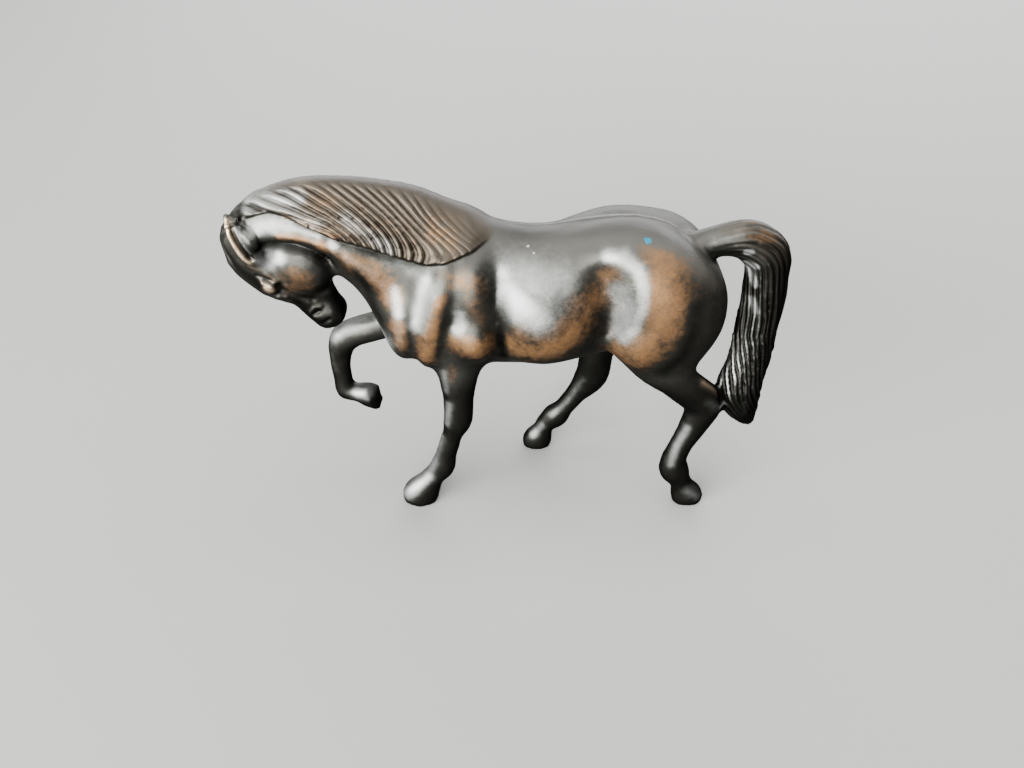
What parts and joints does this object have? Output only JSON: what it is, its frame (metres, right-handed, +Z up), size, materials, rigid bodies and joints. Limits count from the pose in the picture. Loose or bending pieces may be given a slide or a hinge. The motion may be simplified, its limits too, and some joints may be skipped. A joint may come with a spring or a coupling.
{
  "type": "horse statuette",
  "caption": "Small cast-metal standing horse with arched neck, bowed head, lifted foreleg, combed mane and full arched tail, in a dark antiqued copper finish.",
  "frame": {"origin": "on the plane of the three standing hooves, under the middle of the bounding box", "axes": "+Z up, the horse looks towards -X, and its left side, which carries the standing foreleg, faces -Y"},
  "size_m": [0.0976, 0.0252, 0.0669],
  "materials": {
    "casting": "satin, dark antiqued patina rubbed to copper on the raised forms"
  },
  "bodies": {
    "root": {"horse": "casting"}
  },
  "joints": []
}
